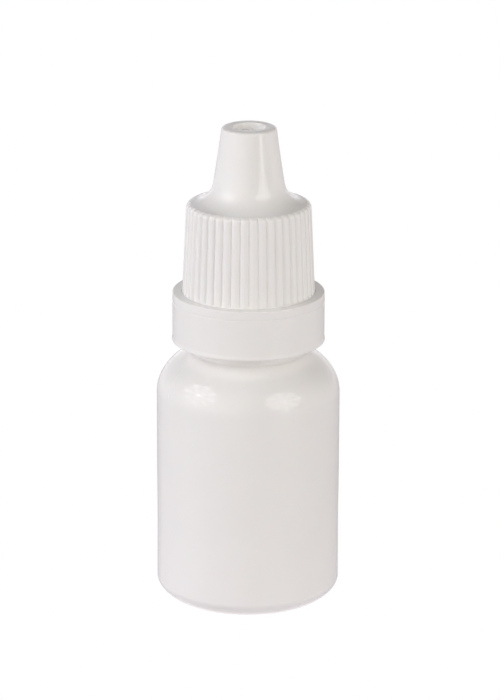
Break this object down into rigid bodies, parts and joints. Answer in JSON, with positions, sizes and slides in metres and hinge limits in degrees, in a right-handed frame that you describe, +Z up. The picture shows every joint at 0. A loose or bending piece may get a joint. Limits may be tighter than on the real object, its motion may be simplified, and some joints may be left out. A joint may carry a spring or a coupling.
{
  "type": "dropper bottle",
  "caption": "White plastic squeeze dropper bottle with a pressed-in dropper plug, a ribbed conical screw cap and a wide tamper ring.",
  "frame": {"origin": "on the axis of the bottle, in the plane it stands on", "axes": "+Z up along the common axis of all pieces, from the base to the tip of the cap; +X and +Y are free, the bottle being round; -Y faces the viewer"},
  "size_m": [0.025, 0.025, 0.0666],
  "materials": {
    "bottle_white": "white low-density polyethylene, blow moulded, waxy satin gloss",
    "plug_white": "natural white low-density polyethylene, injection moulded, satin",
    "cap_white": "white polyethylene, injection moulded, satin gloss",
    "ring_white": "white polyethylene, injection moulded, satin gloss"
  },
  "bodies": {
    "bottle body": {"bottle": "bottle_white", "dropper_plug": "plug_white"},
    "ring body": {"tamper_ring": "ring_white"},
    "cap body": {"screw_cap": "cap_white"}
  },
  "joints": [
    {"name": "cap_turn", "type": "hinge", "parent": "bottle body", "child": "ring body", "pos_m": [0, 0, 0.0407], "axis": [0, 0, 1], "range_deg": [0, 2700]},
    {"name": "cap_lift", "type": "slide", "parent": "ring body", "child": "cap body", "axis": [0, 0, 1], "range_m": [0, 0.02251]}
  ],
  "couplings": [
    {"joint": "cap_lift", "follows": "cap_turn", "m_per_rad": 0.00047746}
  ]
}
